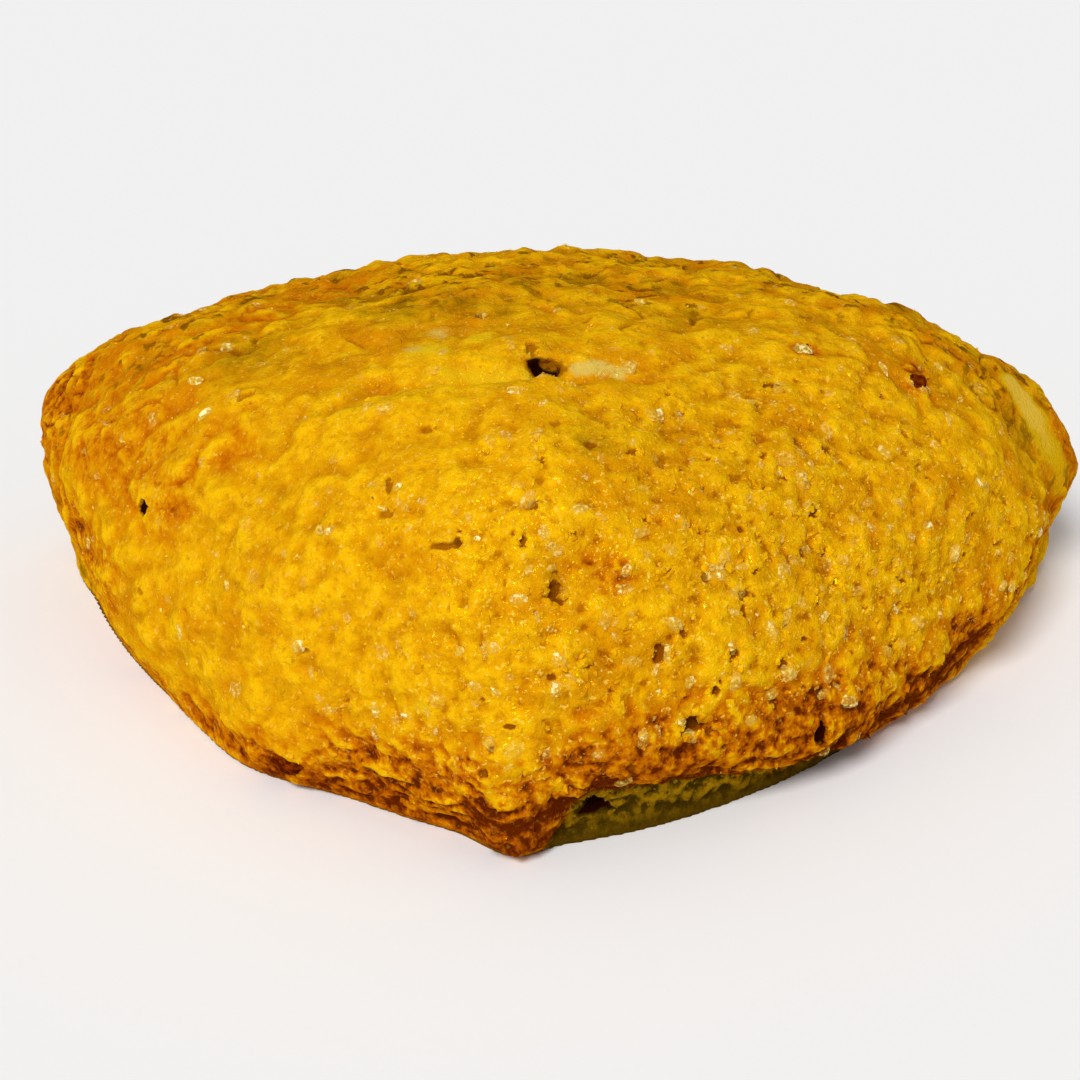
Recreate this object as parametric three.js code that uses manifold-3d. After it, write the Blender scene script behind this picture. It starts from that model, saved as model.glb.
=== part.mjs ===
// A chocolate chip scone: a wedge cut from a round of dough, baked into a dome with a craggy, sugared crust.
// Millimetres, +Z up. The tip points along -Y, the round's outer arc is at +Y, and the base rests on Z = 0.
import * as THREE from "three";
import { ImprovedNoise } from "three/addons/math/ImprovedNoise.js";
import { mergeVertices } from "three/addons/utils/BufferGeometryUtils.js";
import Module from "manifold-3d";

const wasm = await Module();
wasm.setup();

// Plan of the wedge, seen from above, measured from the crown
const ROUND_RADIUS = 90; // of the round of dough, so the length of each cut side
const TIP_REACH = 34.5; // from the crown forward to the tip
const LEFT_TURN = THREE.MathUtils.degToRad(41.6); // from the middle line to the left cut
const RIGHT_TURN = THREE.MathUtils.degToRad(45);
const LEFT_BULGE = 11.6; // how far a cut side has spread in the oven
const RIGHT_BULGE = 10.8;
const TIP_EASE = 2.6; // rounding of the tip
const CORNER_EASE = 2.2; // rounding of the two back corners
const HALVINGS = 40; // steps in the search for the outline along a ray

// Where the foot has run out past the outline: a toe at the tip and a swelling on the left. Angles in degrees.
const FEET = [
  { angle: -97, reach: 2.4, spread: 8 },
  { angle: -153, reach: 2.4, spread: 14 },
];
const FOOT_POWER = 10; // how fast a foot dies out up the dome

// Profile, at four places round the crown, each at an angle and blended over a spread in degrees
const PLACES = {
  tip: { angle: -90, spread: 63 },
  right: { angle: 30, spread: 46 },
  back: { angle: 90, spread: 36 },
  left: { angle: 150, spread: 46 },
};
const CROWN_HEIGHT = 40;
const WIDEST_HEIGHT = { tip: 12, right: 13, back: 21, left: 15.5 };
const BASE_SHARE = { tip: 0.92, right: 0.88, back: 0.9, left: 0.96 }; // base outline over widest outline
const DOME_POWER = { tip: 2, right: 2, back: 2.35, left: 1.95 }; // 2 is an ellipse, more is squarer

// Cells of the mesh
const TOP_CELLS = 44; // along each side of the square that becomes the dome
const WALL_CELLS = 9; // from the widest line down to the base

// Unevenness of the crust: length of a swell and its height
const SWELLS = [
  { length: 31, height: 2.0 },
  { length: 13, height: 1.15 },
  { length: 6.5, height: 0.75 },
];
const SWELL_APART = 7; // keeps the sizes of swell from lining up
const FOOT_FADE = 3; // height over which the unevenness dies out towards the flat base

// Sugar
const CRYSTAL_COUNT = 104;
const CRYSTAL_SIZE = { least: 1.2, most: 2.1 };
const CRYSTAL_SHAPE = { wide: 0.75, high: 0.85 }; // over its length
const CRYSTAL_LEAN = 1.2; // range of its lean, in radians
const CRYSTAL_SINK = 0.42; // share of its height below the crust
const CRYSTAL_LOWEST = 11; // no sugar below this height
const CRYSTAL_KEPT = { everywhere: 0.6, frontRight: 0.35, back: -0.25 }; // share of the places that hold one
const FRONT_RIGHT = { from: -30, to: 40 }; // of x less y, from no extra sugar to all of it
const BACK = { from: 10, to: 40 }; // of y, from the usual sugar to the least
const CRYSTAL_CLEAR = 4; // distance that a crystal keeps from a pit or a chip
const SPIRAL_SHAKE = 0.22; // how far a crystal strays from its place on the spiral

// Even draws from 0 to 1 with no pattern to the eye, from the square of a count and an irrational step
const GOLDEN = 0.6180339887498949;
const PLASTIC = 0.7548776662466927;
const SILVER = 0.4142135623730951;
const draw = (count, step) => (count * count * step) % 1;

// Chocolate
const CHIP_RADIUS = 2.6;
const CHIP_SHOWS = 0.6; // height of a chip above the crust
const ROUND_CELLS = { about: 9, up: 6 }; // of the mesh of a chip or a pit

const noise = new ImprovedNoise();
const bell = (distance, width) => Math.exp(-((distance / width) ** 2));
const ramp = THREE.MathUtils.smoothstep;
const lerp = THREE.MathUtils.lerp;

// Plan outline: where three large circles overlap, with the corners between them eased

const tip = new THREE.Vector2(0, -TIP_REACH);

function fromTip(turn) {
  return new THREE.Vector2(Math.sin(turn), Math.cos(turn)).multiplyScalar(ROUND_RADIUS).add(tip);
}

const leftCorner = fromTip(-LEFT_TURN);
const rightCorner = fromTip(RIGHT_TURN);

function sideCircle(from, to, bulge) {
  const chord = to.clone().sub(from);
  const half = chord.length() / 2;
  const radius = (half * half + bulge * bulge) / (2 * bulge);
  const outward = new THREE.Vector2(chord.y, -chord.x).normalize();
  const centre = from.clone().add(to).multiplyScalar(0.5).addScaledVector(outward, bulge - radius);
  return { centre, radius };
}

const circles = [
  { centre: tip, radius: ROUND_RADIUS },
  sideCircle(tip, rightCorner, RIGHT_BULGE),
  sideCircle(leftCorner, tip, LEFT_BULGE),
];

// Signed distance past the outline: negative inside, with the circles joined by a soft maximum.
function pastOutline(point) {
  const back = THREE.MathUtils.clamp((point.y + TIP_REACH) / ROUND_RADIUS, 0, 1);
  const ease = lerp(TIP_EASE, CORNER_EASE, back);
  const past = circles.map((c) => point.distanceTo(c.centre) - c.radius);
  const most = Math.max(...past);
  return most + ease * Math.log(past.reduce((sum, d) => sum + Math.exp((d - most) / ease), 0));
}

// The turn in degrees, from -180 to 180, between an angle in radians and one in degrees.
function turnFrom(angle, degrees) {
  return THREE.MathUtils.euclideanModulo(THREE.MathUtils.radToDeg(angle) - degrees + 180, 360) - 180;
}

function outlineRadius(angle) {
  const ray = new THREE.Vector2(Math.cos(angle), Math.sin(angle));
  let inside = 0;
  let outside = 2 * ROUND_RADIUS;
  for (let step = 0; step < HALVINGS; step++) {
    const middle = (inside + outside) / 2;
    if (pastOutline(ray.clone().multiplyScalar(middle)) < 0) inside = middle;
    else outside = middle;
  }
  return inside;
}

function footReach(angle) {
  return FEET.reduce((sum, foot) => sum + foot.reach * bell(turnFrom(angle, foot.angle), foot.spread), 0);
}

// A size given at the four places, blended at any angle between them.
function roundCrown(sizes, angle) {
  let sum = 0;
  let weights = 0;
  for (const [name, place] of Object.entries(PLACES)) {
    const weight = bell(turnFrom(angle, place.angle), place.spread);
    sum += weight * sizes[name];
    weights += weight;
  }
  return sum / weights;
}

// Smooth form: a box whose top becomes the dome, whose sides become the wall and whose bottom becomes the base

// A point of the square from -1 to 1 as a ring number from 0 to 1 and an angle, with the cells kept even.
function squareToRound(u, v) {
  const ring = Math.max(Math.abs(u), Math.abs(v));
  if (ring === 0) return { ring, angle: 0 };
  const quarter = Math.PI / 4;
  if (Math.abs(u) >= Math.abs(v)) return { ring, angle: (quarter * v) / u + (u < 0 ? Math.PI : 0) };
  return { ring, angle: Math.PI / 2 - (quarter * u) / v + (v < 0 ? Math.PI : 0) };
}

function formPoint(u, v, w) {
  const { ring, angle } = squareToRound(u, v);
  const reach = outlineRadius(angle);
  const widest = roundCrown(WIDEST_HEIGHT, angle);
  const base = roundCrown(BASE_SHARE, angle);
  let share = ring * base;
  let height = 0;
  let foot = footReach(angle) * ring;
  if (w === 1) {
    const slope = (ring * Math.PI) / 2;
    const power = 2 / roundCrown(DOME_POWER, angle);
    share = Math.sin(slope) ** power;
    foot *= ring ** FOOT_POWER;
    height = widest + (CROWN_HEIGHT - widest) * Math.cos(slope) ** power;
  } else if (w > -1) {
    const fall = ((1 - w) * Math.PI) / 4;
    share = base + (1 - base) * Math.cos(fall);
    height = widest * (1 - Math.sin(fall));
  }
  const radius = reach * share + foot;
  return new THREE.Vector3(Math.cos(angle) * radius, Math.sin(angle) * radius, height);
}

// Crags: what rises above or sinks below the smooth form, at places measured from the crown

// Distance from a point to a line between two places, and how far along it lies, from 0 to 1.
function alongLine(point, from, to) {
  const line = new THREE.Line3(from, to);
  const along = line.closestPointToPointParameter(point, true);
  return { along, apart: line.at(along, new THREE.Vector3()).distanceTo(point) };
}

function swells(p) {
  let sum = 0;
  SWELLS.forEach(({ length, height }, i) => {
    sum += height * noise.noise(p.x / length + SWELL_APART * i, p.y / length, p.z / length);
  });
  return sum;
}

// The crust has torn across the crown: a groove with the front lip standing proud of it.
const TEAR = { left: -20, right: 13, y: -2.1, depth: 1.9, width: 1.6, lip: 0.9, lipWidth: 3 };
const TEAR_ENDS = { from: 0.72, to: 1.1 }; // shares of its half length over which it dies out
const TEAR_SAG = { x: -9, drop: 1.5, width: 9 }; // where the tear bends towards the tip

function crownTear(p) {
  const middle = (TEAR.left + TEAR.right) / 2;
  const ends = 1 - ramp(Math.abs(p.x - middle) / (TEAR.right - middle), TEAR_ENDS.from, TEAR_ENDS.to);
  const behind = p.y - TEAR.y + TEAR_SAG.drop * bell(p.x - TEAR_SAG.x, TEAR_SAG.width);
  const lip = TEAR.lip * bell(behind + TEAR.lipWidth, TEAR.lipWidth);
  return ends * (lip - TEAR.depth * bell(behind, TEAR.width));
}

// Shallow furrows that run across the crown behind the tear.
const FURROWS = [
  { y: 9, slant: 0.1, depth: 0.9 },
  { y: 16, slant: -0.06, depth: 1.1 },
  { y: 25, slant: 0.05, depth: 0.9 },
];
const FURROW_WIDTH = 2.2;
const FURROW_WAVE = { length: 17, height: 3 }; // how a furrow winds
const FURROW_BREAK = { x: 11, y: 19 }; // how far apart the breaks in it are

function furrows(p) {
  const wave = FURROW_WAVE.height * noise.noise(p.x / FURROW_WAVE.length, 0.5, 0.7);
  const broken = 0.5 + 0.5 * noise.noise(p.x / FURROW_BREAK.x, p.y / FURROW_BREAK.y, 0.3);
  let sum = 0;
  for (const { y, slant, depth } of FURROWS) sum += depth * bell(p.y - y - slant * p.x - wave, FURROW_WIDTH);
  return -broken * sum;
}

// At the right corner the crust has pulled away from a pale lobe of dough.
const LOBE = {
  top: new THREE.Vector3(50, 16.3, 29),
  foot: new THREE.Vector3(58.5, 17.3, 13),
  depth: 1.7,
  width: 2.3,
};

function cornerLobe(p) {
  const { along, apart } = alongLine(p, LOBE.top, LOBE.foot);
  return -LOBE.depth * bell(apart, LOBE.width) * ramp(along, 0, 0.3);
}

// Along the right side the crust stands over a paler band of wall that it never reached. Angles in degrees.
const BAND = { from: -84, to: -27, fade: 9, crust: 6.9, edge: 1, recess: 1.8, lip: 1, lipHeight: 3.2 };
const BAND_FALL = { from: -64, to: -30, share: 0.62 }; // where the crust's lower edge comes down, and how far
const BAND_WAVES = [
  { length: 3.4, height: 0.5 },
  { length: 1.5, height: 0.25 },
]; // how that edge rises and falls along the side

function sideBand(p) {
  const angle = THREE.MathUtils.radToDeg(Math.atan2(p.y, p.x));
  const starts = ramp(angle, BAND.from - BAND.fade, BAND.from);
  const ends = ramp(angle, BAND.to, BAND.to + BAND.fade);
  const wave = BAND_WAVES.reduce((sum, w) => sum + w.height * Math.sin(p.x / w.length), 0);
  const crust = BAND.crust * (1 - BAND_FALL.share * ramp(angle, BAND_FALL.from, BAND_FALL.to));
  const above = p.z - crust - wave;
  const lip = BAND.lip * bell(above - BAND.lipHeight, BAND.lipHeight);
  return starts * (1 - ends) * (lip - BAND.recess * (1 - ramp(above, -BAND.edge, BAND.edge)));
}

// Knobs of dough that stand out of the edges.
const KNOBS = [
  { place: new THREE.Vector3(41.5, 33.6, 30.5), height: 1.2, width: 3.2 },
  { place: new THREE.Vector3(40, 28, 30), height: 1, width: 15 },
  { place: new THREE.Vector3(-56, 12, 15), height: 1.2, width: 3.4 },
  { place: new THREE.Vector3(-42, -6, 7), height: 1.2, width: 6 },
  { place: new THREE.Vector3(-27, -20, 4), height: 1.3, width: 5 },
  { place: new THREE.Vector3(49, 0, 10), height: 1, width: 4.5 },
  { place: new THREE.Vector3(62, 22, 14), height: 1.1, width: 4.5 },
  { place: new THREE.Vector3(30, -18, 11), height: 1, width: 4 },
  { place: new THREE.Vector3(-28, 46, 24), height: 1.5, width: 5 },
  { place: new THREE.Vector3(12, 54, 21), height: 1.4, width: 6 },
];

const knobs = (p) => KNOBS.reduce((sum, k) => sum + k.height * bell(p.distanceTo(k.place), k.width), 0);

function relief(p) {
  const crags = swells(p) + crownTear(p) + furrows(p) + cornerLobe(p) + knobs(p);
  return crags * ramp(p.z, 0, FOOT_FADE) + sideBand(p) * ramp(p.z, 0, BAND.edge);
}

// The box's faces without its bottom, which a fan of triangles from the middle of the base closes.
function boxCells() {
  const box = new THREE.BoxGeometry(2, 2, 2, TOP_CELLS, TOP_CELLS, WALL_CELLS);
  box.setIndex(Array.from(box.index.array).slice(0, box.groups[5].start));
  box.deleteAttribute("normal");
  box.deleteAttribute("uv");
  const open = mergeVertices(box);
  const corners = Array.from(open.getAttribute("position").array);
  const middle = corners.length / 3;
  const rim = [];
  for (let i = 0; i < middle; i++) {
    const [u, v, w] = corners.slice(3 * i, 3 * i + 3);
    if (w === -1) rim.push({ i, angle: squareToRound(u, v).angle });
  }
  rim.sort((a, b) => a.angle - b.angle);
  const fan = rim.flatMap((spot, n) => [middle, rim[(n + 1) % rim.length].i, spot.i]);
  return new THREE.BufferGeometry()
    .setAttribute("position", new THREE.Float32BufferAttribute([...corners, 0, 0, -1], 3))
    .setIndex([...open.index.array, ...fan]);
}

// The form with its crags.
function craggyBody() {
  const geometry = boxCells();
  const place = geometry.getAttribute("position");
  for (let i = 0; i < place.count; i++) {
    const point = formPoint(place.getX(i), place.getY(i), place.getZ(i));
    place.setXYZ(i, point.x, point.y, point.z);
  }
  geometry.computeVertexNormals();
  const normal = geometry.getAttribute("normal");
  const p = new THREE.Vector3();
  const out = new THREE.Vector3();
  for (let i = 0; i < place.count; i++) {
    p.fromBufferAttribute(place, i);
    out.fromBufferAttribute(normal, i);
    if (p.z > 0) p.addScaledVector(out, relief(p));
    place.setXYZ(i, p.x, p.y, Math.max(p.z, 0));
  }
  return geometry;
}

// Solids for cutting and joining

function solidOf(geometry) {
  const bare = new THREE.BufferGeometry().setAttribute("position", geometry.getAttribute("position"));
  const merged = mergeVertices(bare.setIndex(geometry.index));
  return new wasm.Manifold(
    new wasm.Mesh({
      numProp: 3,
      vertProperties: merged.getAttribute("position").array,
      triVerts: new Uint32Array(merged.index.array),
    }),
  );
}

function geometryOf(solid) {
  const mesh = solid.getMesh();
  return new THREE.BufferGeometry()
    .setAttribute("position", new THREE.BufferAttribute(mesh.vertProperties, 3))
    .setIndex(new THREE.BufferAttribute(mesh.triVerts, 1));
}

function ellipsoid(place, radii, facing) {
  const round = new THREE.SphereGeometry(1, ROUND_CELLS.about, ROUND_CELLS.up);
  round.scale(radii.x, radii.y, radii.z);
  const turn = new THREE.Quaternion().setFromUnitVectors(new THREE.Vector3(0, 0, 1), facing);
  return round.applyQuaternion(turn).translate(place.x, place.y, place.z);
}

// Where a ray from the heart of the scone meets its crust, and the way that the crust faces there.
const HEART = new THREE.Vector3(0, 6, 12);

function crustAt(body, direction) {
  const ray = new THREE.Raycaster(HEART, direction.clone().normalize());
  const hit = ray.intersectObject(body).at(-1);
  return { place: hit.point, facing: hit.face.normal.clone() };
}

const crustTowards = (body, place) => crustAt(body, new THREE.Vector3(...place).sub(HEART));

// Pits deeper than the crags: a hole in the crown's tear, one in the front, a split in the band, one above it.
const PITS = [
  { towards: [0.3, -1.4, 40], radii: new THREE.Vector3(2.1, 1.4, 2.5) },
  { towards: [1.3, -28.2, 28], radii: new THREE.Vector3(1.3, 1.7, 1.6) },
  { towards: [5.3, -31, 3.6], radii: new THREE.Vector3(2.2, 1.0, 2.2) },
  { towards: [28.5, -18.4, 5.4], radii: new THREE.Vector3(1.2, 1.6, 1.8) },
];

// Directions of the chips of chocolate that reach the surface: three in front, the rest round the back.
const CHIPS = [
  [40.2, 7.8, 33],
  [27.7, 7.3, 37],
  [-25.3, -21, 4],
  [-30, 46, 24],
  [8, 52, 24],
  [34, 48, 20],
  [-14, 52, 18],
  [50, 42, 14],
  [-46, 42, 16],
];

function chipAt(body, towards) {
  const { place, facing } = crustTowards(body, towards);
  const centre = place.addScaledVector(facing, CHIP_SHOWS - CHIP_RADIUS);
  return ellipsoid(centre, new THREE.Vector3(CHIP_RADIUS, CHIP_RADIUS, CHIP_RADIUS), facing);
}

// Crystals of sugar along a shaken spiral of directions, most of them at the front right, where more fell.
function crystals(body) {
  const made = [];
  const others = [...PITS.map((pit) => pit.towards), ...CHIPS].map((place) => crustTowards(body, place).place);
  for (let i = 0; i < CRYSTAL_COUNT; i++) {
    const lift = 1 - (i + 0.5) / CRYSTAL_COUNT;
    const level = Math.sqrt(1 - lift * lift);
    const angle = 2 * Math.PI * GOLDEN * i;
    const direction = new THREE.Vector3(level * Math.cos(angle), level * Math.sin(angle), lift);
    direction.x += SPIRAL_SHAKE * (draw(i, SILVER) - 0.5);
    direction.y += SPIRAL_SHAKE * (draw(i, GOLDEN) - 0.5);
    const { place, facing } = crustAt(body, direction);
    const frontRight = CRYSTAL_KEPT.frontRight * ramp(place.x - place.y, FRONT_RIGHT.from, FRONT_RIGHT.to);
    const back = CRYSTAL_KEPT.back * ramp(place.y, BACK.from, BACK.to);
    const kept = CRYSTAL_KEPT.everywhere + frontRight + back;
    if (place.z < CRYSTAL_LOWEST || draw(i, PLASTIC) > kept) continue;
    if (others.some((other) => other.distanceTo(place) < CRYSTAL_CLEAR)) continue;
    const size = lerp(CRYSTAL_SIZE.least, CRYSTAL_SIZE.most, draw(i, SILVER));
    const grain = new THREE.BoxGeometry(size, CRYSTAL_SHAPE.wide * size, CRYSTAL_SHAPE.high * size);
    grain.rotateZ(2 * Math.PI * draw(i, PLASTIC)).rotateX(CRYSTAL_LEAN * (draw(i, GOLDEN) - 0.5));
    const turn = new THREE.Quaternion().setFromUnitVectors(new THREE.Vector3(0, 0, 1), facing);
    const lifted = place.addScaledVector(facing, size * (0.5 - CRYSTAL_SINK));
    made.push(grain.applyQuaternion(turn).translate(lifted.x, lifted.y, lifted.z));
  }
  return made;
}

const crustMaterial = new THREE.MeshStandardMaterial({ color: 0xe0a00c, roughness: 0.6, metalness: 0 });

function scone() {
  const smooth = new THREE.Mesh(craggyBody(), new THREE.MeshBasicMaterial({ side: THREE.DoubleSide }));
  let solid = solidOf(smooth.geometry);
  for (const pit of PITS) {
    const { place, facing } = crustTowards(smooth, pit.towards);
    solid = solid.subtract(solidOf(ellipsoid(place, pit.radii, facing)));
  }
  for (const chip of CHIPS) solid = solid.add(solidOf(chipAt(smooth, chip)));
  for (const crystal of crystals(smooth)) solid = solid.add(solidOf(crystal));
  const geometry = geometryOf(solid);
  geometry.computeBoundingBox();
  const middle = geometry.boundingBox.getCenter(new THREE.Vector3());
  const mesh = new THREE.Mesh(geometry, crustMaterial);
  mesh.name = "scone";
  mesh.position.set(-middle.x, -middle.y, 0);
  return mesh;
}

const part = new THREE.Group();
part.add(scone());

export default part;
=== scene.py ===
# %% [markdown]
# # A chocolate chip scone
# This lesson dresses a wedge-shaped scone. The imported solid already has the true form: the domed crust,
# the tear across the crown, the split at the right corner and the band of bare dough under the crust on the
# right. What is left for Blender is what the eye reads as baked: crumb, holes, browning, sugar and
# chocolate.
# Blender measures in metres. A scone reads better in millimetres, so sizes below are in millimetres, and
# they are multiplied by MM on their way into a mesh or a material.

# %% Load the frame
import math

import bmesh
import bpy
import numpy as np
from mathutils import Matrix, Vector, noise
from mathutils.bvhtree import BVHTree


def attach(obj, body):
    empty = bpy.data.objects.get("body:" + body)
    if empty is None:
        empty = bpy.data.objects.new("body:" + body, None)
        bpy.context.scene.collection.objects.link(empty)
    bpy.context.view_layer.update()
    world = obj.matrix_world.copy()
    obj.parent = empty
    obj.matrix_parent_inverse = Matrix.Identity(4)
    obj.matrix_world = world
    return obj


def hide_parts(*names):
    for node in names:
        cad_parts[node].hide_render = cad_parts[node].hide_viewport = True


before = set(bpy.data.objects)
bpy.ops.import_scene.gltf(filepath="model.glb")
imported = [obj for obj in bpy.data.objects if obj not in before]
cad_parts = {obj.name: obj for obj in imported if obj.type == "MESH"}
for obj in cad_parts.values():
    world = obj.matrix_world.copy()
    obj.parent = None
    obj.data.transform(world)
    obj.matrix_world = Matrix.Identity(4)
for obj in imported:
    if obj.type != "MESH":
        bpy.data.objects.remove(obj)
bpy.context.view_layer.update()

MM = 0.001
scene = bpy.context.scene

# %% [markdown]
# ## The camera
# The photograph looks down on the scone by 29 degrees from a quarter of a metre away, so the near tip
# looms. A camera is placed by where it stands and where it looks; `to_track_quat` turns it, which is
# simpler than working out angles.

# %% Stand the camera
CAMERA_STANDS = Vector((-2.2, -237.0, 140.8)) * MM
CAMERA_LOOKS_AT = Vector((-2.1, -11.17, 18.04)) * MM
SENSOR_WIDTH = 36
FRAME_PIXELS = 1080  # width of the frame
FOCAL_PIXELS = 2420  # focal length in the same pixels
LENS = SENSOR_WIDTH * FOCAL_PIXELS / FRAME_PIXELS


def turned_towards(start, end):
    return (end - start).to_track_quat("-Z", "Y").to_euler()


camera = bpy.data.objects.new("camera", bpy.data.cameras.new("camera"))
camera.data.sensor_width = SENSOR_WIDTH
camera.data.lens = LENS
camera.data.clip_start = 0.01
camera.location = CAMERA_STANDS
camera.rotation_euler = turned_towards(CAMERA_STANDS, CAMERA_LOOKS_AT)
scene.collection.objects.link(camera)
scene.camera = camera
print("lens, mm:", round(LENS, 1))

# %% [markdown]
# ## An even skin of dough
# The solid is faceted, with cells of two to three millimetres, too coarse to carry crumb. Subdividing would
# keep its long thin triangles. A voxel remesh gives a skin of even squares instead, and a Smooth modifier
# takes the facets and the blocky sugar off it. Both are evaluated once, so no modifier is left on the piece.

# %% Copy the solid, merge it and give it an even skin
SKIN_STEP = 0.44  # between neighbouring vertices
SMOOTH_ROUNDS = 20


def even_skin(node, step, rounds):
    merged = bmesh.new()
    merged.from_mesh(node.data)
    bmesh.ops.remove_doubles(merged, verts=merged.verts, dist=step * MM / 100)
    mesh = bpy.data.meshes.new("dough")
    merged.to_mesh(mesh)
    merged.free()
    dough = bpy.data.objects.new("dough", mesh)
    scene.collection.objects.link(dough)
    remesh = dough.modifiers.new("even squares", "REMESH")
    remesh.mode = "VOXEL"
    remesh.voxel_size = step * MM
    smooth = dough.modifiers.new("no facets", "SMOOTH")
    smooth.factor = 0.5
    smooth.iterations = rounds
    evaluated = dough.evaluated_get(bpy.context.evaluated_depsgraph_get())
    skin = bmesh.new()
    skin.from_mesh(evaluated.to_mesh())
    bpy.data.objects.remove(dough)
    return skin


skin = even_skin(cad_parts["scone"], SKIN_STEP, SMOOTH_ROUNDS)
print("skin:", len(skin.verts), "vertices")

# %% [markdown]
# ## A flat base
# The underside lay on a tray, so it is flat. Thousands of squares would be wasted on it: they are deleted,
# and one face fills the rim that is left. It only keeps the skin closed while the crust takes shape, and is
# cut anew after that.

# %% Close the base with one face
BASE_SNAP = 0.25  # vertices lower than this lie on the tray


def flat_base(skin):
    for vert in skin.verts:
        if vert.co.z < BASE_SNAP * MM:
            vert.co.z = 0
    on_tray = [face for face in skin.faces if all(vert.co.z == 0 for vert in face.verts)]
    bmesh.ops.delete(skin, geom=on_tray, context="FACES")
    rim = [edge for edge in skin.edges if edge.is_boundary]
    filled = bmesh.ops.holes_fill(skin, edges=rim, sides=0)["faces"]
    bmesh.ops.recalc_face_normals(skin, faces=skin.faces)
    return filled


base_faces = flat_base(skin)
print("base:", len(base_faces), "faces,", max(len(face.verts) for face in base_faces), "corners")

# %% [markdown]
# ## Sums over a whole skin
# A loop over a hundred thousand vertices is slow in Python, and numpy works on all of them at once. So
# places and normals go into arrays, a few small tools work on those, and the new places go back at the end.

# %% Tools for a skin of many vertices
def ramp(value, start, end):
    """0 up to start, 1 from end, and a smooth rise between them."""
    share = np.clip((value - start) / (end - start), 0, 1)
    return share * share * (3 - 2 * share)


def bell(distance, width):
    """1 where the distance is nothing, and about a third at this width."""
    return np.exp(-((distance / width) ** 2))


def vertex_arrays(mesh):
    """Places in millimetres and normals of a bmesh's vertices."""
    mesh.normal_update()
    places = np.array([vert.co for vert in mesh.verts]) / MM
    normals = np.array([vert.normal for vert in mesh.verts])
    return places, normals


def softened(values, pairs, rounds):
    """Lets each vertex take the mean of itself and its neighbours, several times over."""
    count = len(values)
    ends = np.concatenate((pairs[:, 0], pairs[:, 1]))
    others = np.concatenate((pairs[:, 1], pairs[:, 0]))
    neighbours = np.bincount(ends, minlength=count)[:, None] + 1
    for _ in range(rounds):
        sums = [np.bincount(ends, weights=column[others], minlength=count) for column in values.T]
        values = (values + np.stack(sums, axis=1)) / neighbours
    return values


def spread_out(places, order, apart, most):
    """Takes vertices in this order, none closer than apart to one taken before."""
    taken = []
    for index in order:
        if len(taken) == most:
            break
        if not taken or np.linalg.norm(places[taken] - places[index], axis=1).min() > apart:
            taken.append(index)
    return taken


def move_to(mesh, places):
    for vert, place in zip(mesh.verts, places):
        vert.co = place * MM


# %% [markdown]
# ## Sugar in the solid
# The solid carries its coarse sugar as blocks on the crust, and smoothing has turned each into a small cone.
# Real blocks go back there later, so the cones are found and lowered: they are where the skin stands proud
# of its own softened form.

# %% Lower the bumps and remember their places
BUMP_ROUNDS = 40  # of softening, which takes a bump away
BUMP_LEFT = 0.12  # how far a bump may still stand out
BUMP_LEAST = 0.35  # height of a bump that was a block of sugar
BUMPS_APART = 2.5

skin.verts.index_update()
places, normals = vertex_arrays(skin)
pairs = np.array([[vert.index for vert in edge.verts] for edge in skin.edges])
proud = ((places - softened(places, pairs, BUMP_ROUNDS)) * normals).sum(axis=1) * ramp(places[:, 2], 2, 5)
highest_first = np.argsort(-proud)[: np.count_nonzero(proud >= BUMP_LEAST)]
sugar_places = places[spread_out(places, highest_first, BUMPS_APART, len(places))]
move_to(skin, places - normals * np.maximum(proud - BUMP_LEFT, 0)[:, None])
print("bumps of sugar found:", len(sugar_places), "highest, mm:", proud.max().round(2))

# %% [markdown]
# ## Holes
# Gas has broken through the crust in small ragged holes. A few are landmarks, such as the one in the tear
# across the crown, and are listed one by one; the rest follow a rule, with most at the front right. Each is
# a dent pressed along the crust's normal. A landmark of no depth darkens a pit that the solid already has.

# %% List the holes that stand out
# A hole's darkness makes it brown, partly a browner crumb and partly painted shade, and black where deep,
# which is painted shade. A landmark of no depth only paints this into a pit that the solid already has.
# Place, half width, half height, depth and darkness
LANDMARK_HOLES = [
    ((-1.6, -11.4, 38.4), 2.2, 1.15, 0.0, 1.35),  # in the tear
    ((-3.1, -9.4, 39.6), 0.6, 1.1, 0.5, 0.7),  # behind it
    ((-0.9, -36.6, 26.2), 0.9, 1.1, 0.4, 0.85),  # in the front
    ((-11.2, -34.1, 29.9), 1.6, 0.45, 0.5, 0.5),
    ((-9.9, -33.9, 30.2), 0.5, 0.6, 0.6, 0.9),
    ((-3.7, -35.2, 31.1), 0.5, 0.7, 0.4, 0.5),
    ((-2.8, -32.8, 33.6), 0.8, 0.7, 0.5, 0.5),
    ((2.9, -25.9, 36.9), 0.8, 0.7, 0.4, 0.6),
    ((-16.9, -27.5, 33.0), 0.4, 1.3, 0.5, 0.55),
    ((21.5, -10.8, 36.0), 1.2, 0.5, 0.8, 0.95),  # slit right of the crown
    ((-44.1, -12.2, 22.4), 0.8, 0.95, 0.7, 1.7),  # on the left shoulder
    ((17.8, -33.3, 24.0), 0.8, 0.6, 0.6, 0.6),
    ((9.4, -38.6, 20.4), 0.8, 1.2, 0.7, 0.6),
    ((13.1, -39.8, 13.0), 1.3, 0.9, 1.0, 0.95),  # over the bare band
    ((16.7, -36.7, 19.3), 0.7, 0.6, 0.6, 0.9),
    ((14.9, -38.3, 16.1), 0.6, 0.6, 0.6, 0.9),
    ((26.0, -33.2, 7.8), 0.8, 1.4, 0.6, 1.9),  # gaps over the crust's edge
    ((40.7, -18.9, 7.9), 0.9, 1.4, 0.6, 1.8),
    ((3.4, -40.0, 3.4), 2.0, 0.6, 0.0, 2.0),  # split in the band
]
print("landmark holes:", len(LANDMARK_HOLES))

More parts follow.
